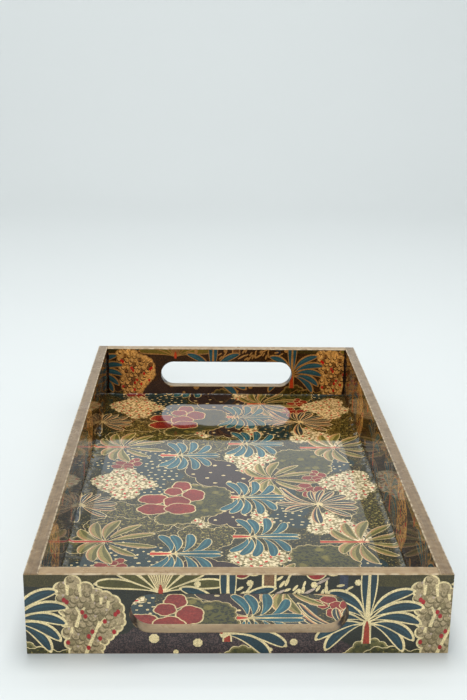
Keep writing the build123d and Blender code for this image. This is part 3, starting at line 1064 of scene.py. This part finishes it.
def build_sheets():
    """The nine printed sheets: four outer faces, four inner faces and the floor."""
    print_low, floor_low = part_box("front_outer_print")[0].z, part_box("floor_print")[0].z
    side_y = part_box("left_outer_print")[1].y
    thickness = BAND - PAINT_PROUD
    out_x, out_y = OUTER_X - PAINT_PROUD, OUTER_Y - PAINT_PROUD
    in_x, in_y = WELL_X + PAINT_PROUD, WELL_Y + PAINT_PROUD
    # Each wall sheet: its wall, its lower left corner and its way right, half its width, its
    # print's start, lift and size, and whether a slot pierces it.
    outer = (
        ("front", -out_x, -out_y, X, out_x, 0.0, 0.0, 1.0, True),
        ("rear", out_x, out_y, -X, out_x, 60.0, 2.0, 1.0, True),
        ("left", -out_x, side_y, -Y, side_y, 96.0, 1.0, 1.0, False),
        ("right", out_x, -side_y, Y, side_y, 30.0, -1.0, 1.0, False),
    )
    inner = (
        ("rear", -in_x, in_y, X, in_x, -8.0, 2.0, 0.94, True),
        ("front", in_x, -in_y, -X, in_x, 40.0, 2.0, 1.0, True),
        ("left", -in_x, -in_y, Y, in_y, 20.0, 0.0, 1.0, False),
        ("right", in_x, in_y, -Y, in_y, 70.0, 0.0, 1.0, False),
    )
    for finish, low, sheets in (("outer", print_low, outer), ("inner", FLOOR, inner)):
        high = (RIM_LOW.z - low) / MM
        for wall, x, y, right, half, start, lift, size, pierced in sheets:
            width = 2 * half / MM
            art = wall_print(width, high, start, lift, size, finish == "inner")
            hole = slot_outline(width / 2, (SLOT_Z - low) / MM) if pierced else None
            printed_sheet(f"{wall}_{finish}_sheet", art, finish, Vector((x, y, low)), right, Z,
                          thickness, [f"{wall}_{finish}_print"], hole)
    width, length = 2 * in_x / MM, 2 * in_y / MM
    printed_sheet("floor_sheet", floor_print(width, length), "floor", Vector((-in_x, -in_y, FLOOR)),
                  X, Y, FLOOR - floor_low, ["floor_print", "clear_enamel_coat"],
                  creep=enamel_creep(width, length))


# ---------------------------------------------------------------- painted edges

def swept(name, rings, closed, slot, nodes, materials):
    """A piece from groups of equal rings of (place, grain, arris), closed or capped."""
    made = bmesh.new()
    grain = made.verts.layers.float_vector.new("grain")
    arris = made.verts.layers.float.new("arris")
    for number, (group, is_closed) in enumerate(zip(rings, closed)):
        first_face = len(made.faces)
        rows = []
        for ring in group:
            row = []
            for place, along, edge in ring:
                vert = made.verts.new(place)
                vert[grain] = along
                vert[arris] = edge
                row.append(vert)
            rows.append(row)
        pairs = list(zip(rows, rows[1:])) + ([(rows[-1], rows[0])] if is_closed else [])
        for near, far in pairs:
            for i in range(len(near)):
                j = (i + 1) % len(near)
                made.faces.new((near[i], near[j], far[j], far[i]))
        if not is_closed:
            made.faces.new(rows[0][::-1])
            made.faces.new(rows[-1])
        made.faces.ensure_lookup_table()
        for face in made.faces[first_face:]:
            face.material_index = number % len(materials)
    bmesh.ops.recalc_face_normals(made, faces=made.faces)
    for face in made.faces:
        face.smooth = len(face.verts) == 4
    for edge in made.edges:
        edge.smooth = len(edge.link_faces) != 2 or edge.calc_face_angle(0) < math.radians(50)
    mesh = bpy.data.meshes.new(name)
    made.to_mesh(mesh)
    made.free()
    for material in materials:
        mesh.materials.append(material)
    return new_piece(name, mesh, slot, *nodes)


RIM_LAP = 0.7 * MM  # how far the paint laps down over the prints
RIM_ARRIS = 0.55 * MM
SLOT_ARRIS = 0.35 * MM
LAP_DEEP = 0.3 * MM  # how deep behind its face the lap reaches
RIM_STATION = 2.5 * MM
NEAR_END = (0.0, 0.15 * MM, 0.4 * MM, 0.85 * MM)  # closer sections, where a bar begins
ARC_STEPS = 4


def quarter_round(radius):
    """A softened arris: how far each of its points lies from one face and from the other."""
    angles = [math.pi / 2 * i / ARC_STEPS for i in range(ARC_STEPS + 1)]
    return [(radius * (1 - math.cos(a)), radius * (1 - math.sin(a))) for a in angles]


# Across the rim: a share of its width, and of its crown's height there.
CROWN_SHARES = ((0.12, 0.5), (0.35, 1.0), (0.65, 1.0), (0.88, 0.5))


def rim_ring(place_at, along, lane, end_gap):
    """One section through the rim's paint. end_gap is the distance to the bar's nearer end."""
    uneven = 0.45 * wobble(along, lane, 0.011) + 0.25 * wobble(along, lane + 5, 0.003)
    outer_lap = RIM_LAP * (1 + uneven)
    inner_lap = RIM_LAP * (0.8 + 0.45 * wobble(along, lane + 9, 0.009))
    arris = quarter_round(RIM_ARRIS * (1 + 0.3 * wobble(along, lane + 14, 0.02)))
    crown = 0.05 * MM * wobble(along, lane + 20, 0.03) - 0.05 * MM
    under = BAND if end_gap > 0.8 * MM else outer_lap
    ease = max(0.0, 0.3 * MM - end_gap)
    # The third value marks mostly the arrises, where the paint is set lighter: partly rubbed wear,
    # partly a painted highlight.
    profile = [(0.0, -outer_lap, 0.3)] + [(far, -near, 1.0) for far, near in arris]
    profile += [(WALL * share, crown * high, 0.15) for share, high in CROWN_SHARES]
    profile += [(WALL - near, -far, 1.0) for far, near in arris]
    profile += [
        (WALL, -inner_lap, 0.3), (WALL - LAP_DEEP, -max(inner_lap, under), 0),
        (WALL - LAP_DEEP, -under, 0), (LAP_DEEP, -under, 0),
        (LAP_DEEP, -max(outer_lap, under), 0),
    ]
    ring = []
    for across, down, edge in profile:
        place_on_bar = place_at(min(max(across, ease), WALL - ease), down - (ease if edge else 0))
        ring.append((place_on_bar, Vector((along, across, lane)), edge))
    return ring


def rim_bar(lane, length, place_at):
    """One painted board edge. place_at(along, across, down) gives its points."""
    count = int(length / RIM_STATION)
    stations = list(NEAR_END) + [length * i / count for i in range(1, count)]
    stations += [length - gap for gap in reversed(NEAR_END)]
    rings = []
    for along in stations:
        gap = min(along, length - along)
        rings.append(rim_ring(lambda a, d, s=along: place_at(s, a, d), along, lane, gap))
    return rings


def build_rim():
    """Paint on the top edge: two side bars the whole length, two end bars between them."""
    top = RIM_TOP
    long, short = 2 * OUTER_Y, 2 * WELL_X
    bars = [
        rim_bar(1.3, long, lambda s, a, d: Vector((-OUTER_X + a, -OUTER_Y + s, top + d))),
        rim_bar(31.3, long, lambda s, a, d: Vector((OUTER_X - a, OUTER_Y - s, top + d))),
        rim_bar(61.3, short, lambda s, a, d: Vector((WELL_X - s, -OUTER_Y + a, top + d))),
        rim_bar(91.3, short, lambda s, a, d: Vector((-WELL_X + s, OUTER_Y - a, top + d))),
    ]
    # Painted shade: the side bars take the same paint as the end bars, set darker, standing in for
    # the shade on the side rims.
    side_paint_shaded = rim_paint_material("champagne_paint_sides_shaded", (113, 89, 55), (72, 53, 32))
    end_paint = rim_paint_material("champagne_paint_ends", (150, 123, 84), (104, 78, 48))
    paints = [side_paint_shaded, side_paint_shaded, end_paint, end_paint]
    return swept("rim_paint_band", bars, [False] * 4, "rim_paint", ["rim_band"], paints)


def slot_path():
    """Places round the slot's centre line as (x, z, outward direction, distance along)."""
    straight_steps, arc_steps = 40, 30
    path = []
    walked = 0.0
    for side, start in ((1, -90), (-1, 90)):
        for i in range(arc_steps + 1):
            angle = math.radians(start + 180 * i / arc_steps)
            path.append((side * SLOT_HALF, math.cos(angle), math.sin(angle), walked))
            walked += math.pi * SLOT_RADIUS / arc_steps
        for i in range(1, straight_steps):
            x = side * SLOT_HALF * (1 - 2 * i / straight_steps)
            path.append((x, 0.0, float(side), walked))
            walked += 2 * SLOT_HALF / straight_steps
    return path


DARKENING_FROM, DARKENING_STEEP = 0.86, 5  # where round a slot its darkening begins, and how abruptly


def slot_ring(x, out_x, out_z, along, lane, face_y, inward):
    """One section through a slot's paint, from the outer face at face_y through the board."""
    lap = 0.1 * MM + 0.3 * MM * max(0.0, wobble(along, lane, 0.006) - 0.1)
    inner_lap = 0.15 * MM + 0.2 * MM * abs(wobble(along, lane + 8, 0.008))
    radius = SLOT_ARRIS * (1 + 0.3 * wobble(along, lane + 12, 0.012))
    arris = quarter_round(radius)
    # Round the slot's ends and top the paint is darkened towards near black-brown. Only the
    # upward-facing bottom lip keeps the full paint colour.
    darkening = (out_z + DARKENING_FROM) * DARKENING_STEEP + 0.6 * wobble(along, lane + 30, 0.01)
    bare = min(1.0, max(0.0, darkening)) if out_z > -0.999 else 0.0
    profile = [(radius + lap, 0.0)] + [(near, far) for far, near in arris]
    for share in (0.2, 0.4, 0.6, 0.8):
        sag = 0.05 * MM * wobble(along, lane + 20 + share * 10, 0.006)
        profile.append((max(0.0, sag), WALL * share))
    profile += [(far, WALL - near) for far, near in arris]
    profile += [
        (radius + inner_lap, WALL), (radius + inner_lap, WALL - LAP_DEEP),
        (BAND, WALL - LAP_DEEP), (BAND, LAP_DEEP), (radius + lap, LAP_DEEP),
    ]
    ring = []
    for out, through in profile:
        reach = SLOT_RADIUS + out
        place = Vector((x + out_x * reach, face_y + inward * through, SLOT_Z + out_z * reach))
        ring.append((place, Vector((along, through, lane)), bare))
    return ring


def build_slot_band(name, node, face_y, lane, material):
    inward = -1 if face_y > 0 else 1
    rings = [slot_ring(x, ox, oz, along, lane, face_y, inward) for x, ox, oz, along in slot_path()]
    return swept(name, [rings], [True], "rim_paint", [node], [material])


# ---------------------------------------------------------------- bare nodes, stage, lights, camera

def dress_cad_nodes():
    """Boards, lining and nails keep their CAD shapes and get their own materials."""
    boards = ("left_side_rail", "right_side_rail", "front_end_rail", "rear_end_rail", "base_panel")
    dressing = (
        (fibreboard_material(), boards), (nail_material(), ("corner_brads", "base_pins")),
        (lining_material(), ("underside_lining",)),
    )
    for material, names in dressing:
        for name in names:
            node = frame["nodes"][name]
            for slot in node.material_slots:
                slot.material = material
            if not node.material_slots:
                node.data.materials.append(material)


def stage_material():
    made, tree, shader = new_material("studio_sweep", 0.7)
    cloud = noise_node(tree, on_tray(tree), 1.2, 2.0)
    colour = mix_colour(tree, cloud, linear(203, 207, 207), linear(209, 213, 213))
    tree.links.new(colour, shader.inputs["Base Color"])
    return made


def build_stage():
    """A pale table that sweeps up into a backdrop."""
    half, front, back, radius, high = 5.0, -6.0, 1.3, 0.9, 3.2
    outline = [(front, 0.0), (back, 0.0)]
    for i in range(1, 17):
        angle = math.pi / 2 * i / 16
        outline.append((back + radius * math.sin(angle), radius * (1 - math.cos(angle))))
    outline.append((back + radius, high))
    made = bmesh.new()
    rows = [[made.verts.new((x, y, z)) for x in (-half, half)] for y, z in outline]
    for near, far in zip(rows, rows[1:]):
        made.faces.new((near[0], near[1], far[1], far[0])).smooth = True
    mesh = bpy.data.meshes.new("sweep")
    made.to_mesh(mesh)
    made.free()
    mesh.materials.append(stage_material())
    sweep = bpy.data.objects.new("sweep", mesh)
    bpy.context.scene.collection.objects.link(sweep)


WINDOW_DIMS = (0.62, 1.3, 1.45, 0.8)  # two heights, and the window's strength at each


def rear_window():
    """A bright panel behind the table, above the view. The enamel reflects it. It dims upwards."""
    half, y, low, high = 1.7, 2.0, 0.58, 2.3
    mesh = bpy.data.meshes.new("rear_window")
    corners = [(-half, y, low), (-half, y, high), (half, y, high), (half, y, low)]
    mesh.from_pydata(corners, [], [(0, 1, 2, 3)])
    made = bpy.data.materials.new("window_light")
    made.use_nodes = True
    tree = made.node_tree
    tree.nodes.clear()
    height = add(tree, "SeparateXYZ", {0: on_tray(tree)}).outputs["Z"]
    glow = add(tree, "Emission", {"Color": (0.93, 0.97, 1.0, 1.0)})
    tree.links.new(remap(tree, height, *WINDOW_DIMS), glow.inputs["Strength"])
    tree.links.new(glow.outputs[0], add(tree, "OutputMaterial").inputs["Surface"])
    mesh.materials.append(made)
    panel = bpy.data.objects.new("rear_window", mesh)
    panel.visible_diffuse = False
    bpy.context.scene.collection.objects.link(panel)


def softbox(name, place, target, width, height, power, mirrored_in_enamel=True):
    data = bpy.data.lights.new(name, "AREA")
    data.shape = "RECTANGLE"
    data.size, data.size_y = width, height
    data.energy = power
    lamp = bpy.data.objects.new(name, data)
    lamp.location = place
    lamp.visible_glossy = mirrored_in_enamel
    aim = Vector(target) - Vector(place)
    lamp.rotation_euler = aim.to_track_quat("-Z", "Y").to_euler()
    bpy.context.scene.collection.objects.link(lamp)


def build_lights():
    softbox("overhead_softbox", (0.0, 0.05, 1.25), (0, 0.05, 0), 0.45, 0.45, 9.5, False)
    softbox("front_softbox", (-0.5, -1.9, 1.1), (0, 0, 0.0), 1.4, 1.0, 17.5)
    softbox("backdrop_light", (0.0, 1.0, 2.0), (0, 2.1, 0.35), 2.6, 0.5, 17)
    world = bpy.data.worlds.new("studio_air")
    world.use_nodes = True
    air = world.node_tree.nodes["Background"]
    air.inputs["Color"].default_value = (0.89, 0.94, 0.95, 1.0)
    air.inputs["Strength"].default_value = 0.7
    bpy.context.scene.world = world
    bpy.context.scene.view_settings.view_transform = "Standard"


# The viewpoint: place in metres, angles in degrees, and the lens for a 36 mm long side.
EYE = Vector((-0.02097, -0.77091, 0.36389))
PITCH, YAW, ROLL, LENS = 17.4706, -1.6025, -0.8271, 53.752


def build_camera():
    pitch, yaw, roll = (math.radians(a) for a in (PITCH, YAW, ROLL))
    level_right = Vector((math.cos(yaw), math.sin(yaw), 0))
    level_ahead = Vector((-math.sin(yaw), math.cos(yaw), 0))
    ahead = level_ahead * math.cos(pitch) - Z * math.sin(pitch)
    above = level_ahead * math.sin(pitch) + Z * math.cos(pitch)
    right = level_right * math.cos(roll) - above * math.sin(roll)
    above = level_right * math.sin(roll) + above * math.cos(roll)
    data = bpy.data.cameras.new("camera")
    data.lens = LENS
    camera = bpy.data.objects.new("camera", data)
    turn = Matrix((right, above, -ahead)).transposed().to_4x4()
    camera.matrix_world = Matrix.Translation(EYE) @ turn
    bpy.context.scene.collection.objects.link(camera)
    bpy.context.scene.camera = camera


build_camera()
build_stage()
build_lights()
rear_window()
dress_cad_nodes()
build_sheets()
build_rim()
slot_paint = slot_paint_material()
build_slot_band("front_slot_paint", "front_slot_band", -OUTER_Y, 121.3, slot_paint)
build_slot_band("rear_slot_paint", "rear_slot_band", OUTER_Y, 151.3, slot_paint)
